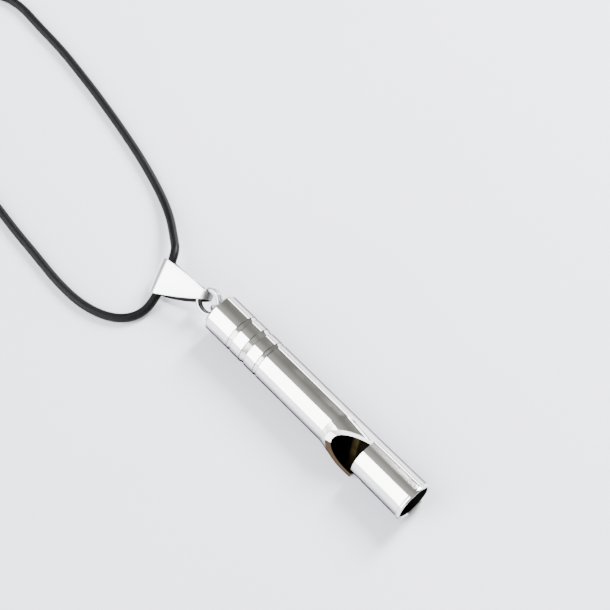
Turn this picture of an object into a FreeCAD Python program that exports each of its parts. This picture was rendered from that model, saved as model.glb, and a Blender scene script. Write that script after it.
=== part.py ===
import FreeCAD, Part
import math
import os
import re

import Sketcher

Vector = FreeCAD.Vector
Rotation = FreeCAD.Rotation
Placement = FreeCAD.Placement

# A training whistle lying on a table on its necklace cord. Millimetres and degrees.
# +X runs along the whistle from the cap to the mouth, +Z is up, and the table is at z = 0. The origin is
# on the table, under the middle of the box round the whistle, its split ring and its bail.
SIZES = {
    # Where the whistle lies: its cap face, its axis, and how far its window is rolled away from straight up.
    "cap_place": -20.81,
    "axis_offset": 1.32,
    "whistle_roll": 50.0,
    "axis_height": 4.8,
    # Tube
    "tube_length": 59.6,
    "tube_radius": 4.5,
    "bore_radius": 3.7,
    "cap_chamfer": 0.45,
    "groove_depth": 0.42,
    "groove_step": 0.14,
    "groove_one": 7.05,
    "groove_one_width": 1.1,
    "groove_two": 11.05,
    "groove_two_width": 1.45,
    "groove_three": 15.3,
    "groove_three_width": 1.0,
    "mouth_recess": 4.6,
    "recess_radius": 4.05,
    "mouth_flare": 0.12,
    "rim_width": 0.9,
    "rim_height": 0.18,
    "rim_round": 0.28,
    # Window and the spread lips beside it
    "window_start": 38.0,
    "window_end": 45.5,
    "window_floor": 1.54,
    "lip_start": 35.5,
    "lip_shift": 0.6,
    "lip_rise": 1.25,
    "lip_radius": 5.12,
    "lip_bore": 4.34,
    "lip_inset": 0.08,
    # Pieces inside the tube
    "plug_length": 3.0,
    "plug_inset": 0.1,
    "block_length": 9.4,
    "windway_height": 1.3,
    "fit_gap": 0.02,
    # Hanging eye on the end plug
    "eye_radius": 2.0,
    "eye_wire": 0.35,
    # Split ring
    "ring_radius": 3.05,
    "ring_thickness": 0.65,
    "ring_width": 1.7,
    "ring_slit": 0.1,
    "ring_gap": 0.3,
    "ring_roll": 46.0,
    # Bail: a strip folded round the cord, with its tips bent together inside the ring
    "bail_length": 11.7,
    "bail_inside": 3.5,
    "bail_strip": 0.4,
    "bail_wide": 7.9,
    "bail_narrow": 0.6,
    "bail_corner": 1.2,
    "bail_seam": 0.08,
    "bail_hold": 9.1,
    "bail_turn": 19.0,
    "bail_pitch": 6.0,
    "bail_roll": 25.0,
    # Cord
    "cord_radius": 1.0,
    # Put-away coil and its tie
    "coil_place_x": -99.61,
    "coil_place_y": -28.68,
    "coil_radius": 12.0,
    "coil_turns": 3.5,
    "tail_start": 7.7,
    "tail_end": 12.6,
    "coil_inner": 9.9,
    "coil_outer": 14.1,
    "coil_bottom": 0.3,
    "coil_top": 4.05,
    "coil_edge": 1.1,
    "tie_width": 2.6,
    "tie_thickness": 0.25,
    "tie_slack": 0.13,
    "tie_tail": 5.0,
    "tie_wire": 0.3,
    # Crimped cord ends
    "crimp_radius": 1.5,
    "crimp_length": 5.0,
    "crimp_groove": 0.22,
    "loop_radius": 1.0,
    "loop_wire": 0.35,
    # Jump rings and chain
    "jump_radius": 1.5,
    "link_radius": 1.35,
    "link_wire": 0.3,
    "link_play": 0.1,
    "drop_radius": 1.4,
    # Lobster clasp
    "clasp_thickness": 2.2,
    "claw_place": 7.4,
    "claw_outer": 3.1,
    "claw_inner": 1.95,
    "tail_radius": 1.5,
    "tail_hole": 0.9,
    "tail_thickness": 0.9,
    "pivot_x": 4.1,
    "pivot_y": 1.35,
    "rivet_radius": 0.4,
    "lever_thickness": 0.9,
    "lever_slot": 1.06,
    "lever_eye": 0.85,
    "pivot_play": 0.03,
    "lever_reach": 5.25,
    "tail_place": 1.2,
}

CHAIN_LINKS = 4

doc = FreeCAD.newDocument("training_whistle")
sheet = doc.addObject("Spreadsheet::Sheet", "Sizes")
for row, (alias, number) in enumerate(SIZES.items(), start=1):
    sheet.set(f"A{row}", alias)
    sheet.set(f"B{row}", str(number))
    sheet.setAlias(f"B{row}", alias)
doc.recompute()

parts = []


def size(alias):
    """The number in the sheet's cell."""
    return float(sheet.get(alias))


def number(formula):
    """What a formula of the sheet's aliases comes to."""
    found = sheet.evalExpression(formula)
    return float(getattr(found, "Value", found))


def bound(formula):
    """A formula as an expression on another object: every alias gets the sheet's name."""
    return re.sub(r"[a-z_]+", lambda word: f"Sizes.{word.group()}", formula)


def bind(thing, **formulas):
    """Binds an object's properties to formulas of the sheet."""
    for name, formula in formulas.items():
        thing.setExpression(name, bound(formula))
    return thing


def finished(thing, label, placement=None):
    """Counts an object as a sub-part, which is written to its own file."""
    thing.Label = label
    if placement is not None:
        thing.Placement = placement
    parts.append(thing)
    return thing


def solid(kind, name, **formulas):
    """A Part primitive whose sizes are bound to the sheet."""
    return bind(doc.addObject(f"Part::{kind}", name), **formulas)


def cut(name, base, tool):
    found = doc.addObject("Part::Cut", name)
    found.Base = base
    found.Tool = tool
    return found


def fused(name, *shapes):
    found = doc.addObject("Part::MultiFuse", name)
    found.Shapes = list(shapes)
    return found


def plane_of(body, role):
    return next(f for f in body.Origin.OriginFeatures if f.Role == role)


def new_sketch(body, name, role, shift="0"):
    """A sketch on one of the body's own origin planes, moved along that plane's normal."""
    sketch = body.newObject("Sketcher::SketchObject", name)
    sketch.AttachmentSupport = [(plane_of(body, role), "")]
    sketch.MapMode = "FlatFace"
    sketch.setExpression("AttachmentOffset.Base.z", bound(shift))
    return sketch


def pin(sketch, geometry, corner, across, up):
    """Fixes a corner of a sketch's line at two formulas from the sketch's origin."""
    for kind, formula in (("DistanceX", across), ("DistanceY", up)):
        if number(formula) == 0:
            axis = -2 if kind == "DistanceX" else -1
            sketch.addConstraint(Sketcher.Constraint("PointOnObject", geometry, corner, axis))
        else:
            found = sketch.addConstraint(
                Sketcher.Constraint(kind, -1, 1, geometry, corner, number(formula))
            )
            sketch.setExpression(f"Constraints[{found}]", bound(formula))


def outline(sketch, corners):
    """A closed outline of straight lines, every corner bound to the sheet."""
    places = [Vector(number(across), number(up), 0) for across, up in corners]
    first = sketch.GeometryCount
    for here, there in zip(places, places[1:] + places[:1]):
        sketch.addGeometry(Part.LineSegment(here, there))
    for i, (across, up) in enumerate(corners):
        before = first + (i - 1) % len(corners)
        sketch.addConstraint(Sketcher.Constraint("Coincident", before, 2, first + i, 1))
        pin(sketch, first + i, 1, across, up)


def circle(sketch, radius, across, up):
    """A circle at a place bound to the sheet."""
    centre = Vector(number(across), number(up), 0)
    found = sketch.addGeometry(Part.Circle(centre, Vector(0, 0, 1), number(radius)))
    reach = sketch.addConstraint(Sketcher.Constraint("Radius", found, number(radius)))
    sketch.setExpression(f"Constraints[{reach}]", bound(radius))
    pin(sketch, found, 3, across, up)


def revolved(body, name, sketch, axis):
    turned = body.newObject("PartDesign::Revolution", name)
    turned.Profile = sketch
    turned.ReferenceAxis = (sketch, [axis])
    turned.Angle = 360
    return turned


def whistle_frame(along=0.0, roll="whistle_roll"):
    """The whistle's own frame: X along its axis from the cap face, Z out of its window."""
    start = Vector(size("cap_place") + along, size("axis_offset"), size("axis_height"))
    return Placement(start, Rotation(Vector(1, 0, 0), size(roll)))


# ---------------------------------------------------------------------------------------------- whistle


def grooved_outline():
    """Half the tube's section: outside from the cap to the mouth, then the bore back again."""
    corners = [("0", "tube_radius - cap_chamfer"), ("cap_chamfer", "tube_radius")]
    for groove in ("groove_one", "groove_two", "groove_three"):
        corners += [
            (groove, "tube_radius"),
            (f"{groove} + {groove}_width - groove_step", "tube_radius - groove_depth"),
            (f"{groove} + {groove}_width", "tube_radius"),
        ]
    corners += [
        ("window_end", "tube_radius"),
        ("tube_length - rim_width", "tube_radius + mouth_flare"),
        ("tube_length - rim_width + rim_round", "tube_radius + mouth_flare + rim_height"),
        ("tube_length - rim_round", "tube_radius + mouth_flare + rim_height"),
        ("tube_length", "tube_radius + mouth_flare + rim_height - rim_round"),
        ("tube_length", "recess_radius + rim_round"),
        ("tube_length - rim_round", "recess_radius"),
        ("tube_length - mouth_recess", "recess_radius"),
        ("tube_length - mouth_recess", "bore_radius"),
        ("0", "bore_radius"),
    ]
    return corners


def lip_loft(name, plain, wide):
    """A loft from a round section before the window to a wider one, up and to one side, at its end."""
    sections = []
    stations = (
        ("lip_start", f"{plain} - lip_inset", "0", "0"),
        ("window_end", wide, "-lip_shift", "lip_rise"),
    )
    for i, (station, radius, across, up) in enumerate(stations):
        ring = bind(doc.addObject("Part::Circle", f"{name}_ring_{i}"), Radius=radius)
        ring.Placement = Placement(
            Vector(number(station), number(across), number(up)), Rotation(Vector(0, 1, 0), 90)
        )
        sections.append(ring)
    loft = doc.addObject("Part::Loft", name)
    loft.Sections = sections
    loft.Solid = True
    loft.Ruled = True
    return loft


def window_cutter():
    """A flat slope down from the window's start, stopped square at the mouthpiece."""
    body = doc.addObject("PartDesign::Body", "WindowCutter")
    top = "tube_radius * 2"
    slope_run = "(window_end - window_start) * tube_radius / (tube_radius - window_floor)"
    section = new_sketch(body, "WindowSection", "XZ_Plane")
    outline(
        section,
        [
            ("window_end", "window_floor"),
            ("window_end", top),
            (f"window_start - {slope_run}", top),
        ],
    )
    wedge = body.newObject("PartDesign::Pad", "WindowWedge")
    wedge.Profile = section
    wedge.Midplane = True
    bind(wedge, Length="lip_radius * 3")
    return body


def whistle_tube():
    turned = doc.addObject("PartDesign::Body", "TurnedTube")
    section = new_sketch(turned, "TubeSection", "XZ_Plane")
    outline(section, grooved_outline())
    revolved(turned, "Turned", section, "H_Axis")
    bore = solid("Cylinder", "LipClearing", Radius="bore_radius", Height="window_end - lip_start + 2")
    bore.Placement = Placement(
        Vector(number("lip_start - 1"), 0, 0), Rotation(Vector(0, 1, 0), 90)
    )
    with_lips = fused("TubeWithLips", turned, lip_loft("Lips", "tube_radius", "lip_radius"))
    removed = fused(
        "TubeOpenings", bore, lip_loft("LipBore", "bore_radius", "lip_bore"), window_cutter()
    )
    return finished(cut("WhistleTube", with_lips, removed), "whistle_tube", whistle_frame())


def end_plug():
    plug = solid(
        "Cylinder", "EndPlug", Radius="bore_radius - fit_gap", Height="plug_length"
    )
    turned = Placement(Vector(size("plug_inset"), 0, 0), Rotation(Vector(0, 1, 0), 90))
    return finished(plug, "end_plug", whistle_frame() * turned)


def hanging_eye():
    """Half a ring of wire, both ends brazed to the end plug, square to the split ring."""
    eye = solid("Torus", "HangingEye", Radius1="eye_radius", Radius2="eye_wire")
    eye.Angle3 = 180
    turned = Placement(
        Vector(size("plug_inset"), 0, 0), Rotation(Vector(0, 0, -1), Vector(-1, 0, 0), Vector(0, 1, 0))
    )
    return finished(eye, "hanging_eye", whistle_frame(roll="ring_roll") * turned)


def fipple_block():
    """A plug under the mouthpiece wall, with a flat that leaves the windway towards the window."""
    round_bar = solid(
        "Cylinder", "BlockBar", Radius="bore_radius - fit_gap", Height="block_length"
    )
    round_bar.Placement.Rotation = Rotation(Vector(0, 1, 0), 90)
    flat = solid(
        "Box",
        "BlockFlat",
        Length="block_length * 2",
        Width="bore_radius * 3",
        Height="windway_height * 2",
    )
    flat.Placement.Base = Vector(
        -size("block_length") / 2,
        -size("bore_radius") * 1.5,
        size("bore_radius") - size("windway_height"),
    )
    block = cut("FippleBlock", round_bar, flat)
    return finished(block, "fipple_block", whistle_frame(size("window_end")))


# ------------------------------------------------------------------------------------- split ring, bail


def ring_centre():
    """The ring hangs in the hanging eye, a gap away from the cap face."""
    return Vector(
        size("cap_place") - size("ring_gap") - size("ring_radius"),
        size("axis_offset"),
        size("axis_height"),
    )


def split_ring():
    """Two flat turns of one strip: a band with a slit nearly all round and a cut end on each turn."""
    outside = solid("Cylinder", "RingOutside", Radius="ring_radius", Height="ring_width")
    inside = solid(
        "Cylinder",
        "RingInside",
        Radius="ring_radius - ring_thickness",
        Height="ring_width * 2",
    )
    inside.Placement.Base.z = -size("ring_width") / 2
    band = cut("RingBand", outside, inside)
    slit_outside = solid(
        "Cylinder", "SlitOutside", Radius="ring_radius * 1.2", Height="ring_slit"
    )
    slit_outside.Angle = 325
    slit_outside.Placement.Base.z = (size("ring_width") - size("ring_slit")) / 2
    ends = []
    for i, (turn, layer) in enumerate(((-2.5, 0.0), (-32.5, 0.5))):
        gap = solid(
            "Box",
            f"TurnEnd{i}",
            Length="ring_radius * 1.2",
            Width="ring_slit * 2",
            Height="ring_width / 2",
        )
        gap.Placement = Placement(
            Vector(0, 0, layer * size("ring_width")), Rotation(Vector(0, 0, 1), turn)
        )
        ends.append(gap)
    ring = cut("SplitRing", band, fused("RingCuts", slit_outside, *ends))
    tilt = Rotation(Vector(1, 0, 0), size("ring_roll"))
    spin = Rotation(Vector(0, 0, 1), 125)
    middle = Placement(Vector(0, 0, -size("ring_width") / 2), Rotation())
    return finished(ring, "split_ring", Placement(ring_centre(), tilt * spin) * middle)


def bail_frame():
    """The bail's own frame: the origin on the cord in the fold, X to the tip, Y along the cord."""
    turn = Rotation(Vector(0, 0, 1), size("bail_turn"))
    pitch = Rotation(Vector(0, 1, 0), -size("bail_pitch"))
    roll = Rotation(Vector(1, 0, 0), size("bail_roll"))
    facing = turn * pitch * roll
    held = ring_centre() - Vector(size("ring_radius") - size("ring_thickness") / 2, 0, 0)
    return Placement(held - facing.multVec(Vector(size("bail_hold"), 0, 0)), facing)


def racetrack(sketch, radius, far, corner):
    """An outline round the cord: half a circle at the fold, and two rounded corners at the tip."""
    r = number(radius)
    x = number(far)
    k = number(corner)
    arcs = [
        Part.LineSegment(Vector(0, -r, 0), Vector(x - k, -r, 0)),
        Part.ArcOfCircle(Part.Circle(Vector(x - k, k - r, 0), Vector(0, 0, 1), k), -math.pi / 2, 0),
        Part.LineSegment(Vector(x, k - r, 0), Vector(x, r - k, 0)),
        Part.ArcOfCircle(Part.Circle(Vector(x - k, r - k, 0), Vector(0, 0, 1), k), 0, math.pi / 2),
        Part.LineSegment(Vector(x - k, r, 0), Vector(0, r, 0)),
        Part.ArcOfCircle(Part.Circle(Vector(0, 0, 0), Vector(0, 0, 1), r), math.pi / 2, 1.5 * math.pi),
    ]
    first = sketch.GeometryCount
    for piece in arcs:
        sketch.addGeometry(piece)
    for i in range(len(arcs)):
        there = first + (i + 1) % len(arcs)
        sketch.addConstraint(Sketcher.Constraint("Tangent", first + i, 2, there, 1))
    pin(sketch, first + 5, 3, "0", "0")
    sketch.addConstraint(Sketcher.Constraint("Horizontal", first))
    for arc, formula in ((1, corner), (3, corner), (5, radius)):
        found = sketch.addConstraint(Sketcher.Constraint("Radius", first + arc, number(formula)))
        sketch.setExpression(f"Constraints[{found}]", bound(formula))
    reach = sketch.addConstraint(Sketcher.Constraint("DistanceX", -1, 1, first + 2, 1, x))
    sketch.setExpression(f"Constraints[{reach}]", bound(far))


def bail():
    body = doc.addObject("PartDesign::Body", "Bail")
    section = new_sketch(body, "StripSection", "XZ_Plane")
    racetrack(section, "bail_inside / 2 + bail_strip", "bail_length", "bail_corner + bail_strip")
    racetrack(section, "bail_inside / 2", "bail_length - bail_strip", "bail_corner")
    pad = body.newObject("PartDesign::Pad", "Strip")
    pad.Profile = section
    pad.Midplane = True
    bind(pad, Length="bail_wide")

    # Both edges taper from the fold to the tip.
    taper = new_sketch(body, "Taper", "XY_Plane")
    for side in ("", "-"):
        outline(
            taper,
            [
                ("0", f"{side}bail_wide / 2"),
                ("bail_length * 1.1", f"{side}bail_narrow / 2"),
                ("bail_length * 1.1", f"{side}bail_wide"),
                ("0", f"{side}bail_wide"),
            ],
        )
    edges = body.newObject("PartDesign::Pocket", "TaperedEdges")
    edges.Profile = taper
    edges.Midplane = True
    bind(edges, Length="bail_inside * 3")

    seam = new_sketch(body, "SeamSection", "XZ_Plane")
    outline(
        seam,
        [
            ("bail_length - bail_strip * 2", "-bail_seam / 2"),
            ("bail_length + bail_strip", "-bail_seam / 2"),
            ("bail_length + bail_strip", "bail_seam / 2"),
            ("bail_length - bail_strip * 2", "bail_seam / 2"),
        ],
    )
    slit = body.newObject("PartDesign::Pocket", "Seam")
    slit.Profile = seam
    slit.Midplane = True
    bind(slit, Length="bail_wide * 2")
    return finished(body, "bail", bail_frame())


# --------------------------------------------------------------------------------------------- the cord


def through_bail(along, up):
    """A point on the cord's straight run through the bail's fold."""
    return bail_frame().multVec(Vector(0, along, up))


def cord_route():
    """From the crimped end by the chain, through the bail, to the start of the coil."""
    z = size("cord_radius")
    return [
        Vector(-122.71, -3.93, size("crimp_radius")),
        Vector(-123.56, 2.12, size("crimp_radius")),
        Vector(-126.11, 8.17, z),
        Vector(-126.11, 14.77, z),
        Vector(-122.81, 19.77, z),
        Vector(-116.51, 22.07, z),
        Vector(-107.61, 21.47, z),
        Vector(-98.61, 21.07, z),
        Vector(-90.01, 19.97, z),
        Vector(-81.61, 18.77, z),
        Vector(-72.01, 17.07, z),
        Vector(-63.31, 15.27, z),
        Vector(-54.91, 12.97, z),
        Vector(-47.71, 10.17, 2.0),
        Vector(-41.81, 6.46, 3.7),
        through_bail(5.8, -0.55),
        through_bail(-6.2, 0.35),
        Vector(-33.91, -12.23, z),
        Vector(-37.61, -16.13, z),
        Vector(-44.11, -18.43, z),
        Vector(-52.11, -18.73, z),
        Vector(-60.71, -17.93, z),
        Vector(-69.11, -17.33, z),
        Vector(-77.71, -16.23, z),
        Vector(-86.71, -16.43, 1.2),
        Vector(-91.91, -16.68, 1.4),
    ]


def rounded_path(route):
    """Straight runs joined by tangent arcs, and the radius of each arc."""
    edges = []
    radii = []
    leave = route[0]
    for before, here, after in zip(route, route[1:], route[2:]):
        back = (before - here).normalize()
        on = (after - here).normalize()
        half = (math.pi - back.getAngle(on)) / 2
        tangent = 0.45 * min((before - here).Length, (after - here).Length)
        radii.append(tangent / math.tan(half))
        start = here + back * tangent
        end = here + on * tangent
        to_middle = (back + on).normalize()
        middle = here + to_middle * radii[-1] * (1 / math.cos(half) - 1)
        edges.append(Part.LineSegment(leave, start).toShape())
        edges.append(Part.Arc(start, middle, end).toShape())
        leave = end
    edges.append(Part.LineSegment(leave, route[-1]).toShape())
    return Part.Wire(edges), radii


def swept(path, radius):
    """A round bar along a path."""
    start = path.Edges[0]
    facing = start.tangentAt(start.FirstParameter)
    section = Part.Wire(Part.Circle(start.valueAt(start.FirstParameter), facing, radius).toShape())
    return path.makePipeShell([section], True, True)


def cord():
    path, radii = rounded_path(cord_route())
    bar = swept(path, size("cord_radius"))
    expected = math.pi * size("cord_radius") ** 2 * path.Length
    print("cord radii", [round(r, 1) for r in radii])
    print("cord length", round(path.Length, 1), "volume", round(bar.Volume, 1), "of", round(expected, 1))
    found = doc.addObject("Part::Feature", "Cord")
    found.Shape = bar
    return finished(found, "cord"), path.Length


def coil_frame():
    return Placement(Vector(size("coil_place_x"), size("coil_place_y"), 0), Rotation())


def cord_coil():
    body = doc.addObject("PartDesign::Body", "CordCoil")
    section = new_sketch(body, "CoilSection", "XZ_Plane")
    low = "coil_bottom"
    high = "coil_top"
    near = "coil_inner"
    far = "coil_outer"
    outline(
        section,
        [
            (f"{near} + coil_edge", low),
            (f"{far} - coil_edge", low),
            (far, f"{low} + coil_edge"),
            (far, f"{high} - coil_edge"),
            (f"{far} - coil_edge", high),
            (f"{near} + coil_edge", high),
            (near, f"{high} - coil_edge"),
            (near, f"{low} + coil_edge"),
        ],
    )
    revolved(body, "Turns", section, "V_Axis")
    return finished(body, "cord_coil", coil_frame())


def coil_tie():
    """A twist tie round the bundle of turns, with its twisted tail standing off to the outside."""
    wide = "coil_outer - coil_inner + tie_slack * 2"
    tall = "coil_top - coil_bottom + tie_slack * 2"
    outside = solid(
        "Box",
        "TieOutside",
        Length=f"{wide} + tie_thickness * 2",
        Width="tie_width",
        Height=f"{tall} + tie_thickness * 2",
    )
    inside = solid("Box", "TieInside", Length=wide, Width="tie_width * 2", Height=tall)
    skin = size("tie_thickness")
    inside.Placement.Base = Vector(skin, -size("tie_width") / 2, skin)
    tail = solid("Cylinder", "TieTail", Radius="tie_wire", Height="tie_tail")
    tail.Placement = Placement(
        Vector(number(wide) + skin * 1.5, size("tie_width") / 2, number(tall) / 2),
        Rotation(Vector(0, 1, 0), 80),
    )
    tie = fused("CoilTie", cut("TieBand", outside, inside), tail)
    corner = Vector(
        size("coil_inner") - size("tie_slack") - skin,
        -size("tie_width") / 2,
        size("coil_bottom") - size("tie_slack") - skin,
    )
    turn = Placement(Vector(0, 0, 0), Rotation(Vector(0, 0, 1), 215))
    return finished(tie, "coil_tie", coil_frame() * turn * Placement(corner, Rotation()))


def cord_tail():
    """The short end of the cord from the coil to the second crimped end."""
    bar = solid("Cylinder", "CordTail", Radius="cord_radius", Height="tail_end - tail_start")
    start = coil_frame().multVec(
        Vector(size("tail_start"), -size("coil_radius"), size("crimp_radius"))
    )
    return finished(bar, "cord_tail", Placement(start, Rotation(Vector(0, 1, 0), 90)))


# ------------------------------------------------------------------------------- crimps, chain and clasp


def line_frame(start, heading, roll):
    """A frame at a point on the table, X along the heading, turned about X by the roll."""
    turn = Rotation(Vector(0, 0, 1), heading)
    return Placement(start, turn * Rotation(Vector(1, 0, 0), roll))


def crimp(label, frame):
    """A sleeve crimped on the cord's end, with a wire loop brazed to it."""
    corners = [("0", "0"), ("0", "crimp_radius")]
    for share in ("0.25", "0.5"):
        nip = f"crimp_length * {share}"
        corners += [
            (nip, "crimp_radius"),
            (f"{nip} + crimp_groove * 1.5", "crimp_radius - crimp_groove"),
            (f"{nip} + crimp_groove * 3", "crimp_radius"),
        ]
    corners += [
        ("crimp_length - crimp_groove", "crimp_radius"),
        ("crimp_length", "crimp_radius - crimp_groove"),
        ("crimp_length", "0"),
    ]
    sleeve = doc.addObject("PartDesign::Body", f"{label}_sleeve")
    section = new_sketch(sleeve, f"{label}_section", "XZ_Plane")
    outline(section, corners)
    revolved(sleeve, f"{label}_turned", section, "H_Axis")
    loop = solid("Torus", f"{label}_loop", Radius1="loop_radius", Radius2="loop_wire")
    loop.Placement.Base.x = size("crimp_length") + size("loop_radius")
    return finished(fused(f"{label}_body", sleeve, loop), label, frame)


def wire_ring(label, radius, frame):
    ring = solid("Torus", label, Radius1=radius, Radius2="link_wire")
    return finished(ring, label, frame)


def extension_chain():
    """The crimped end, a jump ring and round links, each a quarter turn from the one before, and a drop."""
    start = cord_route()[0]
    heading = -82.0
    wire = size("link_wire")
    play = size("link_play")
    level = start.z
    tilt = 45.0
    base = line_frame(start, heading, 0)
    crimp("crimp_end_a", line_frame(start, heading, tilt))
    reach = size("crimp_length") + 2 * size("loop_radius")
    reach += size("jump_radius") - size("loop_wire") - wire - play
    sizes = ["jump_radius"] + ["link_radius"] * CHAIN_LINKS
    for i, radius in enumerate(sizes):
        tilt = -tilt
        label = "jump_ring_a" if i == 0 else f"chain_link_{i}"
        rest = size(radius) * math.sin(math.radians(45)) + wire + 0.02
        place = base.multVec(Vector(reach, 0, rest - level))
        wire_ring(label, radius, line_frame(place, heading, tilt))
        following = size(sizes[i + 1]) if i + 1 < len(sizes) else size("link_radius")
        reach += size(radius) + following - 2 * wire - play
    tilt = -tilt
    loop = solid("Torus", "drop_loop", Radius1="link_radius", Radius2="link_wire")
    ball = solid("Sphere", "drop_ball", Radius="drop_radius")
    ball.Placement.Base.x = size("link_radius") + size("drop_radius") * 0.9
    drop = fused("ChainDrop", loop, ball)
    place = base.multVec(Vector(reach, 0, size("drop_radius") - level + 0.02))
    finished(drop, "chain_drop", line_frame(place, heading, tilt))


def clasp_place():
    """The second crimped end and, beyond its jump ring, the clasp's tail."""
    start = coil_frame().multVec(
        Vector(size("tail_end"), -size("coil_radius"), size("crimp_radius"))
    )
    loop_far = start.x + size("crimp_length") + 2 * size("loop_radius")
    return start, loop_far


def prism(name, shape_face, thickness):
    """A flat outline as a plate, half each side of the clasp's middle plane."""
    plate = doc.addObject("Part::Feature", name)
    plate.Shape = shape_face.extrude(Vector(0, 0, thickness))
    plate.Placement.Base.z = -thickness / 2
    return plate


def disc(name, radius, thickness, x=0.0, y=0.0):
    found = solid("Cylinder", name, Radius=radius, Height=thickness)
    found.Placement.Base = Vector(x, y, -number(thickness) / 2)
    return found


def clasp():
    start, loop_far = clasp_place()
    crimp("crimp_end_b", line_frame(start, 0, 0))
    wire = size("link_wire")
    play = size("link_play")
    ring_x = loop_far + size("jump_radius") - size("loop_wire") - wire - play
    middle = Vector(ring_x, start.y, size("jump_radius") + wire + 0.02)
    wire_ring("jump_ring_b", "jump_radius", line_frame(middle, 0, 90))
    tail = Vector(ring_x + size("tail_place"), start.y, 0)
    frame = line_frame(Vector(tail.x, tail.y, size("clasp_thickness") / 2 + 0.02), 0, 0)
    x = size("claw_place")
    px = size("pivot_x")
    py = size("pivot_y")

    # Body: tail plate, shank and claw, less the tail hole, the claw's eye, its mouth and the lever's slot.
    shank = Part.makePolygon(
        [
            Vector(0, -1.1, 0),
            Vector(x, -size("claw_outer"), 0),
            Vector(x, 0, 0),
            Vector(px, py + 1.1, 0),
            Vector(px - 1.2, py + 0.9, 0),
            Vector(0, 1.1, 0),
            Vector(0, -1.1, 0),
        ]
    )
    outside = fused(
        "clasp_outside",
        prism("clasp_shank", Part.Face(shank), size("clasp_thickness")),
        disc("clasp_claw", "claw_outer", "clasp_thickness", x),
        disc("clasp_tail", "tail_radius", "clasp_thickness"),
    )
    reach = size("lever_reach")
    swept_edge = [
        Vector(px + reach * math.cos(math.radians(a)), py + reach * math.sin(math.radians(a)), 0)
        for a in (-12, -4, 4, 12, 21, 30, 45)
    ]
    low_corner = Vector(px - 0.6, 0.3, 0)
    mouth = Part.makePolygon([low_corner, *swept_edge, Vector(px - 0.6, 5.0, 0), low_corner])
    slot = fused(
        "clasp_slot",
        disc("slot_round", "lever_eye + pivot_play * 6", "lever_slot", px, py),
        prism("slot_way", Part.Face(mouth), size("lever_slot")),
    )
    gap_corner = Vector(px + 1.5, 0.9, 0)
    gap = Part.makePolygon([gap_corner, *swept_edge, Vector(px + 1.5, 5.0, 0), gap_corner])
    slabs = []
    for i, side in enumerate((1, -1)):
        slab = solid(
            "Box",
            f"tail_relief_{i}",
            Length="tail_radius * 2.2",
            Width="tail_radius * 3",
            Height="clasp_thickness",
        )
        rise = size("tail_thickness") / 2 if side > 0 else -size("tail_thickness") / 2
        rise -= 0 if side > 0 else size("clasp_thickness")
        slab.Placement.Base = Vector(-size("tail_radius") * 1.4, -size("tail_radius") * 1.5, rise)
        slabs.append(slab)
    removed = fused(
        "clasp_removed",
        disc("clasp_eye", "claw_inner", "clasp_thickness * 2", x),
        disc("clasp_tail_hole", "tail_hole", "clasp_thickness * 2"),
        disc("clasp_rivet_hole", "rivet_radius", "clasp_thickness * 2", px, py),
        prism("clasp_mouth", Part.Face(gap), size("clasp_thickness") * 2),
        slot,
        *slabs,
    )
    finished(cut("ClaspBody", outside, removed), "clasp_body", frame)

    # Lever: closes the claw's mouth, and turns on the rivet into the claw's eye.
    arm = Part.makePolygon(
        [
            Vector(px, py - 0.6, 0),
            Vector(px + 1.7, 1.15, 0),
            Vector(x + 1.1, 1.7, 0),
            Vector(x + 1.75, 2.35, 0),
            Vector(px + 1.7, 2.6, 0),
            Vector(px, py + 0.8, 0),
            Vector(px, py - 0.6, 0),
        ]
    )
    nub = Part.makePolygon(
        [
            Vector(px - 0.1, py + 0.3, 0),
            Vector(px + 0.6, py + 0.4, 0),
            Vector(px + 0.4, py + 1.7, 0),
            Vector(px - 0.2, py + 1.7, 0),
            Vector(px - 0.1, py + 0.3, 0),
        ]
    )
    lever_solid = fused(
        "lever_solid",
        disc("lever_round", "lever_eye", "lever_thickness", px, py),
        prism("lever_arm", Part.Face(arm), size("lever_thickness")),
        prism("lever_nub", Part.Face(nub), size("lever_thickness")),
    )
    hole = disc("lever_hole", "rivet_radius + pivot_play", "lever_thickness * 2", px, py)
    finished(cut("ClaspLever", lever_solid, hole), "clasp_lever", frame)
    rivet = disc("ClaspRivet", "rivet_radius", "clasp_thickness", px, py)
    finished(rivet, "clasp_rivet", frame * rivet.Placement)


whistle_tube()
end_plug()
hanging_eye()
fipple_block()
split_ring()
bail()
_, run_length = cord()
cord_coil()
coil_tie()
cord_tail()
extension_chain()
clasp()

doc.recompute()
failed = [o.Name for o in doc.Objects if "Invalid" in o.State or "Error" in o.State]
if failed:
    raise RuntimeError(f"these objects failed: {failed}")
os.makedirs("parts", exist_ok=True)
for part in parts:
    if part.Shape.isNull() or not part.Shape.isValid():
        raise RuntimeError(f"{part.Label} has no valid shape")
    part.Shape.exportStep(f"parts/{part.Label}.step")
    box = part.Shape.BoundBox
    print(
        f"{part.Label:14s} solids {len(part.Shape.Solids)} volume {part.Shape.Volume:9.3f}"
        f" x {box.XMin:8.2f} {box.XMax:8.2f} y {box.YMin:7.2f} {box.YMax:7.2f} z {box.ZMin:6.2f} {box.ZMax:6.2f}"
    )
coiled = 2 * math.pi * size("coil_radius") * size("coil_turns")
print("whole cord", round(run_length + coiled + size("tail_end") + size("tail_start"), 1))
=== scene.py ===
import math

import bpy
from mathutils import Matrix, Vector


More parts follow.
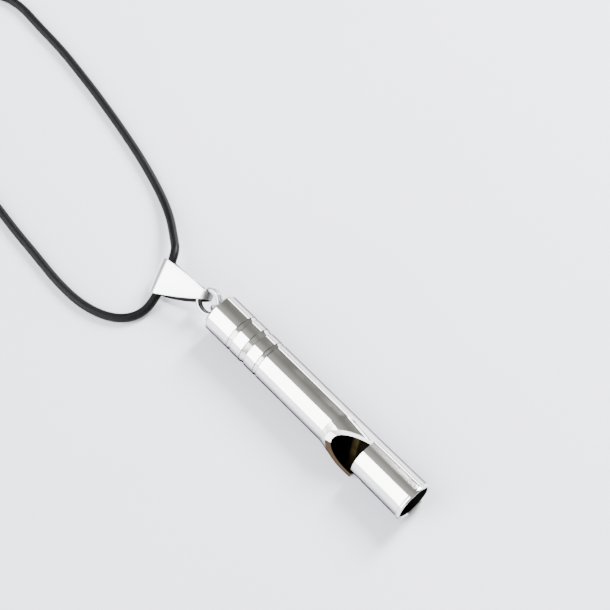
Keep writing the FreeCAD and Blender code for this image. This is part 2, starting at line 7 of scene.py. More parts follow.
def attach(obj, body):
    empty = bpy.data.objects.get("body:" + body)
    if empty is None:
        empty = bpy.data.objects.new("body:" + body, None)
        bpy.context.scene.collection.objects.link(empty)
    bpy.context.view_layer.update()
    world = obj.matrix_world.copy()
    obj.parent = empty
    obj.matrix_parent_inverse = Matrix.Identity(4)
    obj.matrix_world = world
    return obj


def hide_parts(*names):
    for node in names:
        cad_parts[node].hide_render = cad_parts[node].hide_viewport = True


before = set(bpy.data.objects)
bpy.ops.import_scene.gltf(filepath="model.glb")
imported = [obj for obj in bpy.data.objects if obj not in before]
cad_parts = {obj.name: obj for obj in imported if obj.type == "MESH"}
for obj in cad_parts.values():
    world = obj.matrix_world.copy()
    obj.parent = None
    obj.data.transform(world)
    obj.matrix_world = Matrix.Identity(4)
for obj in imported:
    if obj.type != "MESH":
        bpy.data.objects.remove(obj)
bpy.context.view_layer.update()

# A training whistle lying on a pale table on its braided neck cord. Metres: +X runs along the whistle
# from its cap to its mouth, and the table is at z = 0.

# The whistle. AXIS is a point on its axis and CAP the X of its cap's end; places along it count from CAP.
AXIS = Vector((0.0, 0.00132, 0.0048))
CAP = -0.02081
LENGTH = 0.0596
SKIN_RADIUS = 0.0040  # what lies farther from the axis than this is the tube's outside
WINDOW_START = 0.0362
WINDOW_END = 0.0455
GROOVES = ((0.00705, 0.0011), (0.01105, 0.00145), (0.0153, 0.001))  # each one's start and width

# The split ring, and the bail that hangs on it.
RING_ROLL = math.radians(46)
RING_RADIUS = 0.00305
RING_GAP = 0.0003  # between the cap's end and the ring
HALF_BAND = 0.000325  # half of the ring's thickness: the bail is held at the middle of its band
BAIL_TURN = math.radians(19)
BAIL_PITCH = math.radians(-6)
BAIL_ROLL = math.radians(25)
BAIL_REACH = 0.0091  # from the cord in the fold to the ring's band, near the tip

# The cord. Its last part is wound into a coil, and both ends go into crimped fittings.
CORD_RADIUS = 0.001
CRIMP_HEIGHT = 0.0015
STRANDS = 8
LAY = 0.0046  # the length in which a strand goes once round the cord
COIL_CENTRE = Vector((-0.09961, -0.02868, 0.0))
COIL_RADIUS = 0.012
COIL_TURNS = 3.5
COIL_LAYERS = ((0.0120, 0.00132), (0.0129, 0.00132), (0.0121, 0.00302), (0.0110, 0.00160))  # radius, height
COIL_WOBBLE = 0.00012  # how far a turn strays from its radius

# How the polishing marks are stretched: not at all, or along X.
SMOOTH = (1, 1, 1)
ALONG_X = (0.15, 1, 1)
FINE_ALONG_X = (0.06, 1, 1)


# ------------------------------------------------------------------------------------------- materials


class Nodes:
    """A new material's node tree, with one Principled shader."""

    def __init__(self, name):
        self.material = bpy.data.materials.new(name)
        self.material.use_nodes = True
        self.tree = self.material.node_tree
        self.shader = self.tree.nodes["Principled BSDF"]

    def add(self, kind, **values):
        node = self.tree.nodes.new(f"ShaderNode{kind}")
        for key, value in values.items():
            if key in node.inputs:
                node.inputs[key].default_value = value
            else:
                setattr(node, key, value)
        return node

    def join(self, source, socket, node, target):
        self.tree.links.new(source.outputs[socket], node.inputs[target])

    def ramp(self, *stops):
        node = self.add("ValToRGB")
        elements = node.color_ramp.elements
        while len(elements) < len(stops):
            elements.new(0.5)
        for element, (place, shade) in zip(elements, stops):
            element.position = place
            element.color = (*shade, 1) if isinstance(shade, tuple) else (shade, shade, shade, 1)
        return node

    def set(self, **values):
        for key, value in values.items():
            self.shader.inputs[key.replace("_", " ")].default_value = value


def steel(name, shade, smooth, rough, stretch=SMOOTH, dents=0.02, marks=0.15):
    """Polished steel: uneven polish, hairline wiping marks along one direction and slow ripples."""
    made = Nodes(name)
    made.set(Metallic=1.0)
    place = made.add("TexCoord")
    lined = made.add("Mapping")
    lined.inputs["Scale"].default_value = stretch
    made.join(place, "Object", lined, "Vector")
    hair = made.add("TexNoise", Scale=2600.0, Detail=6.0, Roughness=0.65)
    made.join(lined, "Vector", hair, "Vector")
    cloud = made.add("TexNoise", Scale=160.0, Detail=4.0)
    made.join(place, "Object", cloud, "Vector")
    tint = made.ramp((0.3, tuple(c * 0.9 for c in shade)), (0.7, shade))
    made.join(cloud, "Fac", tint, "Fac")
    made.join(tint, "Color", made.shader, "Base Color")
    polish = made.add("MapRange")
    polish.inputs["From Min"].default_value = 0.3
    polish.inputs["From Max"].default_value = 0.75
    polish.inputs["To Min"].default_value = smooth
    polish.inputs["To Max"].default_value = rough
    hair_share = 0.5
    blend = made.add("Math", operation="MULTIPLY_ADD")
    made.join(hair, "Fac", blend, 0)
    blend.inputs[1].default_value = hair_share
    made.join(cloud, "Fac", blend, 2)
    made.join(blend, "Value", polish, "Value")
    made.join(polish, "Result", made.shader, "Roughness")
    ripple = made.add("TexNoise", Scale=420.0, Detail=2.0)
    made.join(place, "Object", ripple, "Vector")
    soft = made.add("Bump", Strength=dents, Distance=0.0002)
    made.join(ripple, "Fac", soft, "Height")
    fine = made.add("Bump", Strength=marks, Distance=0.000004)
    made.join(hair, "Fac", fine, "Height")
    made.join(soft, "Normal", fine, "Normal")
    made.join(fine, "Normal", made.shader, "Normal")
    return made.material


def waxed_braid():
    """Black waxed braid: the crowns of the strands are painted lighter as a painted sheen, and the gaps
    between them are painted black as painted shade.
    """
    made = Nodes("waxed_braid")
    crown = made.add("Attribute", attribute_name="crown")
    place = made.add("TexCoord")
    fibre = made.add("TexNoise", Scale=9000.0, Detail=3.0)
    made.join(place, "Object", fibre, "Vector")
    lint = made.add("TexNoise", Scale=700.0, Detail=5.0)
    made.join(place, "Object", lint, "Vector")
    # Painted shade in the gaps between strands and a painted sheen on their crowns.
    gap_shade = (0.0005, 0.0005, 0.0006)
    strand = (0.0022, 0.0022, 0.0024)
    sheen = (0.013, 0.013, 0.0135)
    shade = made.ramp((0.0, gap_shade), (0.8, strand), (1.0, sheen))
    lint_share = 0.35
    uneven = made.add("Math", operation="MULTIPLY_ADD")
    made.join(lint, "Fac", uneven, 0)
    uneven.inputs[1].default_value = lint_share
    made.join(crown, "Fac", uneven, 2)
    lint_middle = 0.17
    less = made.add("Math", operation="SUBTRACT")
    less.inputs[1].default_value = lint_middle
    made.join(uneven, "Value", less, 0)
    made.join(less, "Value", shade, "Fac")
    made.join(shade, "Color", made.shader, "Base Color")
    rough = made.add("MapRange")
    rough.inputs["To Min"].default_value = 0.7
    rough.inputs["To Max"].default_value = 0.34
    made.join(uneven, "Value", rough, "Value")
    made.join(rough, "Result", made.shader, "Roughness")
    bump = made.add("Bump", Strength=0.5, Distance=0.00003)
    made.join(fibre, "Fac", bump, "Height")
    made.join(bump, "Normal", made.shader, "Normal")
    made.set(Specular_IOR_Level=0.12)
    return made.material


def moulded(name, shade, rough):
    """Moulded plastic with a fine grain."""
    made = Nodes(name)
    place = made.add("TexCoord")
    grain = made.add("TexNoise", Scale=3000.0, Detail=4.0)
    made.join(place, "Object", grain, "Vector")
    tint = made.ramp((0.3, tuple(c * 0.7 for c in shade)), (0.7, shade))
    made.join(grain, "Fac", tint, "Fac")
    made.join(tint, "Color", made.shader, "Base Color")
    bump = made.add("Bump", Strength=0.3, Distance=0.00003)
    made.join(grain, "Fac", bump, "Height")
    made.join(bump, "Normal", made.shader, "Normal")
    made.set(Roughness=rough)
    return made.material


def table_top():
    """A smooth pale table, a little uneven in tone."""
    made = Nodes("table_top")
    place = made.add("TexCoord")
    cloud = made.add("TexNoise", Scale=14.0, Detail=5.0)
    made.join(place, "Object", cloud, "Vector")
    tint = made.ramp((0.3, (0.775, 0.785, 0.880)), (0.7, (0.800, 0.808, 0.900)))
    made.join(cloud, "Fac", tint, "Fac")
    made.join(tint, "Color", made.shader, "Base Color")
    made.set(Roughness=0.55, Specular_IOR_Level=0.25)
    return made.material


def mixed(tree, share, first, second, kind="RGBA"):
    """A node that goes from one value to another as the share goes from 0 to 1."""
    node = tree.nodes.new("ShaderNodeMix")
    node.data_type = kind
    first_socket = 6 if kind == "RGBA" else 2
    tree.links.new(share, node.inputs[0])
    for index, value in ((first_socket, first), (first_socket + 1, second)):
        if isinstance(value, (tuple, float)):
            node.inputs[index].default_value = value
        else:
            tree.links.new(value, node.inputs[index])
    return node.outputs[2 if kind == "RGBA" else 0]


def paint_shade_inside(material, shade, rough):
    """Makes the faces marked as inner ones dark, as painted shade, and dull."""
    tree = material.node_tree
    shader = tree.nodes["Principled BSDF"]
    inner = tree.nodes.new("ShaderNodeAttribute")
    inner.attribute_name = "inner"
    for name, shaded in (("Base Color", (*shade, 1.0)), ("Roughness", rough)):
        plain = shader.inputs[name].links[0].from_socket
        kind = "RGBA" if name == "Base Color" else "FLOAT"
        tree.links.new(mixed(tree, inner.outputs["Fac"], plain, shaded, kind), shader.inputs[name])
    return material


def tube_steel():
    """The whistle's polished steel, dull inside, with painted shade in the bore, at the edges of the grooves
    and on one side of the window's cut faces, a painted brown reflection in the bore and a painted dark
    reflection on the underside.
    """
    material = steel("tube_steel", (0.84, 0.835, 0.82), 0.03, 0.09, FINE_ALONG_X, 0.012, 0.1)
    tree = material.node_tree
    shader = tree.nodes["Principled BSDF"]

    def maths(operation, *values):
        node = tree.nodes.new("ShaderNodeMath")
        node.operation = operation
        for socket, value in zip(node.inputs, values):
            if isinstance(value, (int, float)):
                socket.default_value = value
            else:
                tree.links.new(value, socket)
        return node.outputs["Value"]

    def vector(operation, first, second):
        node = tree.nodes.new("ShaderNodeVectorMath")
        node.operation = operation
        for socket, value in zip(node.inputs, (first, second)):
            if isinstance(value, tuple):
                socket.default_value = value
            else:
                tree.links.new(value, socket)
        return node

    def fading(value, start, end):
        """0 where the value is at the start, 1 where it is at the end."""
        node = tree.nodes.new("ShaderNodeMapRange")
        node.inputs["From Min"].default_value = start
        node.inputs["From Max"].default_value = end
        tree.links.new(value, node.inputs["Value"])
        return node.outputs["Result"]

    # Facing is 1 where a face looks straight out from the axis and -1 where it looks at the axis.
    place = tree.nodes.new("ShaderNodeTexCoord")
    from_axis = vector("SUBTRACT", place.outputs["Object"], (0.0, AXIS.y, AXIS.z)).outputs["Vector"]
    across = vector("MULTIPLY", from_axis, (0.0, 1.0, 1.0)).outputs["Vector"]
    radius = vector("LENGTH", across, across).outputs["Value"]
    outward = vector("DOT_PRODUCT", place.outputs["Normal"], across).outputs["Value"]
    facing = maths("DIVIDE", outward, radius)
    split = tree.nodes.new("ShaderNodeSeparateXYZ")
    tree.links.new(from_axis, split.inputs["Vector"])
    along = split.outputs["X"]
    sideways = split.outputs["Y"]

    # The bore, up to the rounded rim of the mouth, which gets painted shade.
    rim_round = 0.00035
    inward = -0.35
    looks_in = maths("LESS_THAN", facing, inward)
    inside = maths("MULTIPLY", looks_in, maths("LESS_THAN", along, CAP + LENGTH - rim_round))

    # Painted shade in a thin dark line at both edges of each groove.
    cap_side_shade = 0.00008
    mouth_side_shade = 0.00006
    groove_shade = None
    for start, width in GROOVES:
        for edge, reach in ((start, cap_side_shade), (start + width, mouth_side_shade)):
            line = maths("COMPARE", along, CAP + edge, reach)
            groove_shade = line if groove_shade is None else maths("ADD", groove_shade, line)
    groove_shade = maths("MULTIPLY", groove_shade, maths("GREATER_THAN", radius, SKIN_RADIUS))

    # Painted shade and reflection in the bore: near-black, with a slanting brown streak that is a painted
    # reflection and shows under the window.
    streak_slant = 0.6
    streak_place = 0.0418
    streak_fall = -420.0
    streak_peak = 0.66
    streak_wander = 0.35
    blotch_scale = 500.0
    blotch = tree.nodes.new("ShaderNodeTexNoise")
    blotch.inputs["Scale"].default_value = blotch_scale
    tree.links.new(place.outputs["Object"], blotch.inputs["Vector"])
    slant = maths("MULTIPLY_ADD", sideways, streak_slant, along)
    off = maths("ABSOLUTE", maths("SUBTRACT", slant, CAP + streak_place))
    wander = maths("MULTIPLY", blotch.outputs["Fac"], streak_wander)
    band = maths("MULTIPLY_ADD", off, streak_fall, streak_peak)
    bore_shade_and_reflection = tree.nodes.new("ShaderNodeValToRGB")
    bore_shade_and_reflection.color_ramp.elements[0].position = 0.42
    bore_shade_and_reflection.color_ramp.elements[0].color = (0.004, 0.0034, 0.0022, 1)
    bore_shade_and_reflection.color_ramp.elements[1].position = 0.62
    bore_shade_and_reflection.color_ramp.elements[1].color = (0.042, 0.030, 0.012, 1)
    tree.links.new(maths("ADD", band, wander), bore_shade_and_reflection.inputs["Fac"])
    # Past the window the bore is painted near-black: painted shade.
    mouth_shade = (0.012, 0.0125, 0.0115, 1.0)
    past_window = 0.001
    mouth = maths("GREATER_THAN", along, CAP + WINDOW_END + past_window)
    inner = mixed(tree, mouth, bore_shade_and_reflection.outputs["Color"], mouth_shade)

    # The window's cut faces are satin, and brown on the side that the light doesn't reach: painted shade.
    skin = 0.9
    shade_from, shade_to = -0.0012, -0.0036
    after_start = maths("GREATER_THAN", along, CAP + WINDOW_START)
    in_window = maths("MULTIPLY", after_start, maths("LESS_THAN", along, CAP + WINDOW_END))
    cut_face = maths("MULTIPLY", in_window, maths("LESS_THAN", facing, skin))
    cut_face_shade = maths("MULTIPLY", cut_face, fading(sideways, shade_from, shade_to))

    # Painted dark reflection: outside faces that look down at the table are painted near-black, standing in
    # for the shaded table that they reflect.
    level = 0.12
    looks_out = 0.5
    turned = tree.nodes.new("ShaderNodeSeparateXYZ")
    tree.links.new(place.outputs["Normal"], turned.inputs["Vector"])
    under = fading(turned.outputs["Z"], level, -level)
    shaded = maths("MULTIPLY", under, maths("GREATER_THAN", facing, looks_out))

    # Painted light goes into the colour here: the painted dark reflection underneath, the painted shade at
    # the grooves' edges, on the cut faces and in the bore.
    colour = shader.inputs["Base Color"].links[0].from_socket
    colour = mixed(tree, shaded, colour, (0.03, 0.03, 0.033, 1.0))
    colour = mixed(tree, groove_shade, colour, (0.03, 0.028, 0.025, 1.0))
    colour = mixed(tree, cut_face_shade, colour, (0.045, 0.032, 0.02, 1.0))
    tree.links.new(mixed(tree, inside, colour, inner), shader.inputs["Base Color"])
    rough = shader.inputs["Roughness"].links[0].from_socket
    rough = mixed(tree, groove_shade, rough, 0.4, "FLOAT")
    rough = mixed(tree, cut_face, rough, 0.36, "FLOAT")
    tree.links.new(mixed(tree, inside, rough, 0.5, "FLOAT"), shader.inputs["Roughness"])

    # Only the rim of the mouth keeps the bright edge that steel has at a low angle.
    rim_width = 0.0008
    rim = maths("GREATER_THAN", along, CAP + LENGTH - rim_width)
    edge = mixed(tree, rim, (0.0, 0.0, 0.0, 1.0), (1.0, 1.0, 1.0, 1.0))
    tree.links.new(edge, shader.inputs["Specular Tint"])
    return material


TUBE_STEEL = tube_steel()
PLUG_STEEL = steel("plug_steel", (0.62, 0.60, 0.58), 0.18, 0.32, SMOOTH, 0.05, 0.5)
# The ring's and the bail's inner faces get painted shade: these dark colours are that shade.
RING_STEEL = paint_shade_inside(
    steel("ring_steel", (0.42, 0.42, 0.41), 0.10, 0.26, SMOOTH, 0.25, 0.6),
    (0.02, 0.019, 0.016),
    0.4,
)
BAIL_STEEL = paint_shade_inside(
    steel("bail_steel", (0.86, 0.86, 0.86), 0.16, 0.28, ALONG_X, 0.03, 0.15),
    (0.014, 0.012, 0.012),
    0.5,
)
WIRE_STEEL = steel("wire_steel", (0.45, 0.45, 0.455), 0.08, 0.2)
CLASP_STEEL = steel("clasp_steel", (0.50, 0.50, 0.51), 0.10, 0.24, SMOOTH, 0.08, 0.3)
BRAID = waxed_braid()
BLOCK = moulded("block_plastic", (0.014, 0.011, 0.008), 0.5)
TIE = moulded("tie_plastic", (0.03, 0.03, 0.03), 0.45)

FINISHES = {
    "whistle_tube": TUBE_STEEL,
    "end_plug": PLUG_STEEL,
    "hanging_eye": WIRE_STEEL,
    "fipple_block": BLOCK,
    "split_ring": RING_STEEL,
    "bail": BAIL_STEEL,
    "cord": BRAID,
    "cord_coil": BRAID,
    "cord_tail": BRAID,
    "coil_tie": TIE,
    "clasp_body": CLASP_STEEL,
    "clasp_lever": CLASP_STEEL,
}
for node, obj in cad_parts.items():
    obj.data.materials.clear()
    obj.data.materials.append(FINISHES.get(node, WIRE_STEEL))


# ---------------------------------------------------------------------------------------------- helpers


def new_object(name, mesh, material):
    """A smooth-shaded object with this mesh and material, linked to the scene."""
    obj = bpy.data.objects.new(name, mesh)
    bpy.context.scene.collection.objects.link(obj)
    mesh.materials.append(material)
    for face in mesh.polygons:
        face.use_smooth = True
    return obj


def grid_mesh(name, rings):
    """A mesh from a list of equal rings of points, each joined to the next, with both ends closed."""
    count = len(rings[0])
    verts = [point for ring in rings for point in ring]
    faces = []
    for i in range(len(rings) - 1):
        here = i * count
        there = here + count
        for j in range(count):
            k = (j + 1) % count
            faces.append((here + j, here + k, there + k, there + j))
    faces.append(tuple(range(count - 1, -1, -1)))
    faces.append(tuple(range(len(verts) - count, len(verts))))
    mesh = bpy.data.meshes.new(name)
    mesh.from_pydata(verts, [], faces)
    mesh.update()
    return mesh


# ---------------------------------------------------------------------------------------------- the cord


def bail_frame():
    """The bail's own frame: its origin is on the cord in the fold, X to the tip, Y along the cord."""
    facing = (
        Matrix.Rotation(BAIL_TURN, 4, "Z")
        @ Matrix.Rotation(BAIL_PITCH, 4, "Y")
        @ Matrix.Rotation(BAIL_ROLL, 4, "X")
    )
    held = Vector((CAP - RING_GAP - 2 * RING_RADIUS + HALF_BAND, AXIS.y, AXIS.z))
    start = held - facing.to_3x3() @ Vector((BAIL_REACH, 0, 0))
    return Matrix.Translation(start) @ facing


def cord_points():
    """The cord from the crimped end by the chain, through the bail and the coil, to the clasp's end."""
    z = CORD_RADIUS
    through = bail_frame()
    points = [
        Vector((-0.12271, -0.00393, CRIMP_HEIGHT)),
        Vector((-0.12356, 0.00212, CRIMP_HEIGHT)),
        Vector((-0.12611, 0.00817, z)),
        Vector((-0.12611, 0.01477, z)),
        Vector((-0.12281, 0.01977, z)),
        Vector((-0.11651, 0.02207, z)),
        Vector((-0.10761, 0.02147, z)),
        Vector((-0.09861, 0.02107, z)),
        Vector((-0.09001, 0.01997, z)),
        Vector((-0.08161, 0.01877, z)),
        Vector((-0.07201, 0.01707, z)),
        Vector((-0.06331, 0.01527, z)),
        Vector((-0.05491, 0.01297, z)),
        Vector((-0.04771, 0.01017, 0.0020)),
        Vector((-0.04181, 0.00646, 0.0037)),
        through @ Vector((0, 0.0058, -0.00055)),
        through @ Vector((0, -0.0062, 0.00035)),
        Vector((-0.03391, -0.01223, z)),
        Vector((-0.03761, -0.01613, z)),
        Vector((-0.04411, -0.01843, z)),
        Vector((-0.05211, -0.01873, z)),
        Vector((-0.06071, -0.01793, z)),
        Vector((-0.06911, -0.01733, z)),
        Vector((-0.07771, -0.01623, z)),
        Vector((-0.08671, -0.01643, 0.0012)),
        Vector((-0.09191, -0.01668, 0.0014)),
    ]
    # The coil: turns that lie beside and on each other, each a little out of line with the one before.
    steps = 14  # in one turn
    total = round(COIL_TURNS * steps)
    leaving = 5  # the last steps, which ease out of the coil to the crimped end
    waves = 9.0
    for i in range(1, total):
        share = i / steps
        low = int(share)
        mix = share - low
        mix = mix * mix * (3 - 2 * mix)
        here = COIL_LAYERS[min(low, 3)]
        there = COIL_LAYERS[min(low + 1, 3)]
        radius = here[0] * (1 - mix) + there[0] * mix
        height = here[1] * (1 - mix) + there[1] * mix
        if i > total - leaving:
            ease = (i - total + leaving) / leaving
            radius = radius * (1 - ease) + COIL_RADIUS * ease
            height = height * (1 - ease) + CRIMP_HEIGHT * ease
        angle = math.pi / 2 + share * 2 * math.pi
        radius += COIL_WOBBLE * math.sin(share * waves)
        points.append(COIL_CENTRE + Vector((radius * math.cos(angle), radius * math.sin(angle), height)))
    for past in (0.0015, 0.0070, 0.0126):
        points.append(COIL_CENTRE + Vector((past, -COIL_RADIUS, CRIMP_HEIGHT)))
    return points


def smooth_line(points, resolution):
    """Points along the NURBS curve that has these control points."""
    curve = bpy.data.curves.new("cord_line", "CURVE")
    curve.dimensions = "3D"
    spline = curve.splines.new("NURBS")
    spline.points.add(len(points) - 1)
    for control, place in zip(spline.points, points):
        control.co = (*place, 1)
    spline.order_u = 3
    spline.use_endpoint_u = True
    spline.resolution_u = resolution
    holder = bpy.data.objects.new("cord_line", curve)
    bpy.context.scene.collection.objects.link(holder)
    mesh = bpy.data.meshes.new_from_object(holder)
    line = [v.co.copy() for v in mesh.vertices]
    bpy.data.objects.remove(holder)
    bpy.data.curves.remove(curve)
    bpy.data.meshes.remove(mesh)
    return line


def evenly(line, step):
    """The same line with points a fixed step apart."""
    found = [line[0]]
    left = step
    for a, b in zip(line, line[1:]):
        span = (b - a).length
        done = 0.0
        while span - done >= left:
            done += left
            found.append(a.lerp(b, done / span))
            left = step
        left -= span - done
    found.append(line[-1])
    return found


def frames_along(line):
    """A steady pair of cross directions at every point, with no twist."""
    tangents = [(b - a).normalized() for a, b in zip(line, line[1:])]
    tangents.append(tangents[-1])
    side = tangents[0].orthogonal().normalized()
    pairs = []
    for tangent in tangents:
        side = (side - tangent * side.dot(tangent)).normalized()
        pairs.append((side.copy(), tangent.cross(side)))
    return pairs


def braided_cord():
    """A round braid: two families of strands cross over and under each other round the cord."""
    step = 0.00011
    line = evenly(smooth_line(cord_points(), 24), step)
    pairs = frames_along(line)
    around = 40
    gap_reach = 0.92  # of the cord's radius, between strands
    crown_rise = 0.078
    rings = []
    crowns = []
    along = 0.0
    for i, (place, (side, up)) in enumerate(zip(line, pairs)):
        if i:
            along += (place - line[i - 1]).length
        ring = []
        for j in range(around):
            turn = 2 * math.pi * j / around
            right = STRANDS * (turn / (2 * math.pi) + along / LAY)
            left = STRANDS * (turn / (2 * math.pi) - along / LAY)
            weave = math.sin(math.pi * (right + left) / 2) * math.sin(math.pi * (right - left) / 2)
            over = 0.5 + 0.5 * weave
            crown = abs(math.sin(math.pi * right)) * over + abs(math.sin(math.pi * left)) * (1 - over)
            reach = CORD_RADIUS * (gap_reach + crown_rise * crown)
            ring.append(place + side * (reach * math.cos(turn)) + up * (reach * math.sin(turn)))
            crowns.append(crown)
        rings.append(ring)
    mesh = grid_mesh("braided_cord", rings)
    mesh.attributes.new("crown", "FLOAT", "POINT").data.foreach_set("value", crowns)
    obj = new_object("braided_cord", mesh, BRAID)
    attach(obj, "cord")
    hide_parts("cord", "cord_coil", "cord_tail")


braided_cord()


# ----------------------------------------------------------------------------------- split ring and bail


def ring_coil():
    """Two turns of one flat strip, side by side, with a crossover where they change places."""
    centre = Vector((CAP - RING_GAP - RING_RADIUS, AXIS.y, AXIS.z))
    tilt = Matrix.Translation(centre) @ Matrix.Rotation(RING_ROLL, 4, "X")
    turn_from = math.radians(128)
    wound = 4 * math.pi * 0.985  # a little short of two full turns
    cross_from = 0.46  # where the crossover starts, and how long it is, as shares of the strip
    cross_share = 0.08
    steps = 220
    corners = 16
    thick = 0.00032  # half of the strip's thickness and half of its width
    half_width = 0.00039
    squareness = 0.3  # 1 is an ellipse and 0 a rectangle
    pitch = 0.00042  # of each turn's middle from the ring's middle
    middle = RING_RADIUS - thick - 0.00001
    rings = []
    inner = []
    for i in range(steps + 1):
        share = i / steps
        angle = turn_from + share * wound
        step = min(max((share - cross_from) / cross_share, 0.0), 1.0)
        offset = pitch * (2 * step * step * (3 - 2 * step) - 1)
        ring = []
        for j in range(corners):
            around = 2 * math.pi * j / corners
            across = abs(math.cos(around)) ** squareness * math.copysign(thick, math.cos(around))
            up = abs(math.sin(around)) ** squareness * math.copysign(half_width, math.sin(around))
            radius = middle + across
            ring.append(tilt @ Vector((radius * math.cos(angle), radius * math.sin(angle), offset + up)))
            # The faces that look at the ring's middle are marked for painted shade.
            inner.append(1.0 if across < -thick * 0.8 else 0.0)
        rings.append(ring)
    mesh = grid_mesh("ring_coil", rings)
    mesh.attributes.new("inner", "FLOAT", "POINT").data.foreach_set("value", inner)
    obj = new_object("ring_coil", mesh, RING_STEEL)
    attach(obj, "split_ring")
    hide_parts("split_ring")


ring_coil()


def bail_strip():
    """One steel strip folded round the cord: bowed tapering legs with rounded edges that meet at the tip."""
    middle = 0.00195  # the strip's own middle line, from the cord's middle
    tip = 0.0115
    corner = 0.0014
    seam = 0.00005
    corner_steps = 8
    leg_steps = 24

    # The middle line as x, z and the way out of the strip, from the seam round the upper leg to the fold.
    path = []
    for i in range(4):
        path.append((tip, seam + (middle - corner - seam) * i / 4, 1, 0))
    for i in range(corner_steps + 1):
        angle = math.pi / 2 * i / corner_steps
        out_x, out_z = math.cos(angle), math.sin(angle)
        path.append((tip - corner + corner * out_x, middle - corner + corner * out_z, out_x, out_z))
    for i in range(1, leg_steps):
        path.append(((tip - corner) * (1 - i / leg_steps), middle, 0, 1))
    for i in range(leg_steps + 1):
        angle = math.pi / 2 * (1 + i / leg_steps)
        out_x, out_z = math.cos(angle), math.sin(angle)
        path.append((middle * out_x, middle * out_z, out_x, out_z))
    path += [(x, -z, across, -up) for x, z, across, up in reversed(path[:-1])]

    facing = bail_frame()
    rings = []
    inner = []
    thick = 0.0002  # half of the strip's thickness
    round_edge = 0.00012
    outer_tip = 0.0117
    fold_half = 0.00395  # half of the strip's width at the fold
    taper = 0.00365 / 0.01287
    bow = 0.00022
    lower_lean = -0.00045
    for x, z, across, up in path:
        share = min(max(x / outer_tip, 0.0), 1.0)
        half = fold_half - taper * max(x, 0.0) + bow * math.sin(math.pi * share)
        lean = lower_lean * math.sin(math.pi * share) ** 0.7 if z < 0 else 0.0
        # Near the tip, the outer faces get most of the painted shade too.
        tip_shade = 0.75 if share > 0.9 else 0.0
        section = []
        for side, face in ((1, 1), (1, -1), (-1, -1), (-1, 1)):
            turns = (0, 1, 2, 3) if side * face > 0 else (3, 2, 1, 0)
            for turn in turns:
                angle = math.pi / 2 * turn / 3
                wide = side * (half - round_edge + round_edge * math.sin(angle))
                section.append((wide, face * (thick - round_edge + round_edge * math.cos(angle))))
        ring = []
        for wide, out in section:
            ring.append(facing @ Vector((x + across * out, wide + lean, z + up * out)))
            # The faces inside the fold are marked for painted shade.
            inner.append(1.0 if out < -thick * 0.4 else tip_shade)
        rings.append(ring)
    mesh = grid_mesh("bail_strip", rings)
    mesh.attributes.new("inner", "FLOAT", "POINT").data.foreach_set("value", inner)
    obj = new_object("bail_strip", mesh, BAIL_STEEL)
    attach(obj, "bail")
    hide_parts("bail")


bail_strip()


# ------------------------------------------------------------------------------- floor, lights, camera


def floor():
    """The table, which is part of the stage and not of the object."""
    bpy.ops.mesh.primitive_plane_add(size=6.0, location=(0, 0, 0))
    plane = bpy.context.object
    plane.name = "table_top"
    plane.data.materials.append(table_top())


def soft_light(name, place, wide, tall, power):
    """A rectangular white lamp that looks at the middle of the table."""
    lamp = bpy.data.lights.new(name, "AREA")
    lamp.shape = "RECTANGLE"
    lamp.size = wide
    lamp.size_y = tall
    lamp.energy = power
    obj = bpy.data.objects.new(name, lamp)
    bpy.context.scene.collection.objects.link(obj)
    obj.location = place
    obj.rotation_euler = (-Vector(place)).to_track_quat("-Z", "Y").to_euler()


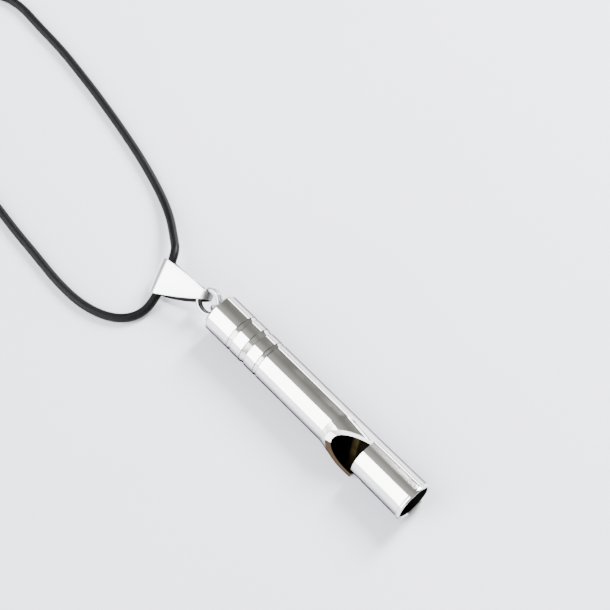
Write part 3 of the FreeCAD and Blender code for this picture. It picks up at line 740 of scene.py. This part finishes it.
def studio_world():
    """A dim olive-grey room with two bright soft windows on the -Y side and a low one on the +Y side."""
    world = bpy.data.worlds.new("studio")
    bpy.context.scene.world = world
    world.use_nodes = True
    tree = world.node_tree
    background = tree.nodes["Background"]
    place = tree.nodes.new("ShaderNodeTexCoord")
    split = tree.nodes.new("ShaderNodeSeparateXYZ")
    tree.links.new(place.outputs["Generated"], split.inputs["Vector"])

    def between(axis, low, high, soft):
        """1 where the direction's part along an axis is between two values, and 0 outside them."""
        product = None
        for limit, step in ((low, soft), (high, -soft)):
            edge = tree.nodes.new("ShaderNodeMapRange")
            edge.interpolation_type = "SMOOTHSTEP"
            edge.inputs["From Min"].default_value = limit - step
            edge.inputs["From Max"].default_value = limit + step
            tree.links.new(split.outputs[axis], edge.inputs["Value"])
            product = combined(product, edge.outputs["Result"], "MULTIPLY")
        return product

    def combined(first, second, operation):
        if first is None:
            return second
        node = tree.nodes.new("ShaderNodeMath")
        node.operation = operation
        tree.links.new(first, node.inputs[0])
        if isinstance(second, float):
            node.inputs[1].default_value = second
        else:
            tree.links.new(second, node.inputs[1])
        return node.outputs["Value"]

    # Each window's brightness, then its low end, high end and softness along each axis of the direction.
    windows = (
        (12.0, ("X", -0.56, -0.08, 0.04), ("Y", -1.2, -0.21, 0.015), ("Z", -0.2, 1.2, 0.02)),
        (7.0, ("X", 0.25, 0.62, 0.08), ("Y", -1.2, -0.45, 0.1), ("Z", -0.2, 1.2, 0.02)),
        (9.0, ("X", -0.7, 0.0, 0.05), ("Y", 0.8, 1.2, 0.02), ("Z", 0.13, 0.26, 0.02)),
    )
    total = None
    for power, *sides in windows:
        shape = None
        for side in sides:
            shape = combined(shape, between(*side), "MULTIPLY")
        total = combined(total, combined(shape, power, "MULTIPLY"), "ADD")
    front_glow = 0.35
    total = combined(total, combined(between("Y", -1.2, 0.25, 0.35), front_glow, "MULTIPLY"), "ADD")
    room = tree.nodes.new("ShaderNodeCombineColor")
    for channel, base in (("Red", 0.26), ("Green", 0.26), ("Blue", 0.235)):
        tree.links.new(combined(total, base, "ADD"), room.inputs[channel])
    tree.links.new(room.outputs["Color"], background.inputs["Color"])


def camera():
    """The photograph's view: from above, in front and a little past the mouth's end."""
    lens = bpy.data.cameras.new("camera")
    lens.lens = 105.5
    lens.sensor_width = 36
    lens.clip_start = 0.01
    obj = bpy.data.objects.new("camera", lens)
    bpy.context.scene.collection.objects.link(obj)
    obj.location = (0.11823, -0.10301, 0.34756)
    aim = Vector((-0.011306, 0.017489, 0.0))
    obj.rotation_euler = (aim - obj.location).to_track_quat("-Z", "Y").to_euler()
    bpy.context.scene.camera = obj


floor()
studio_world()
soft_light("key", (-0.06, 0.62, 0.52), wide=0.15, tall=0.4, power=23.0)
camera()
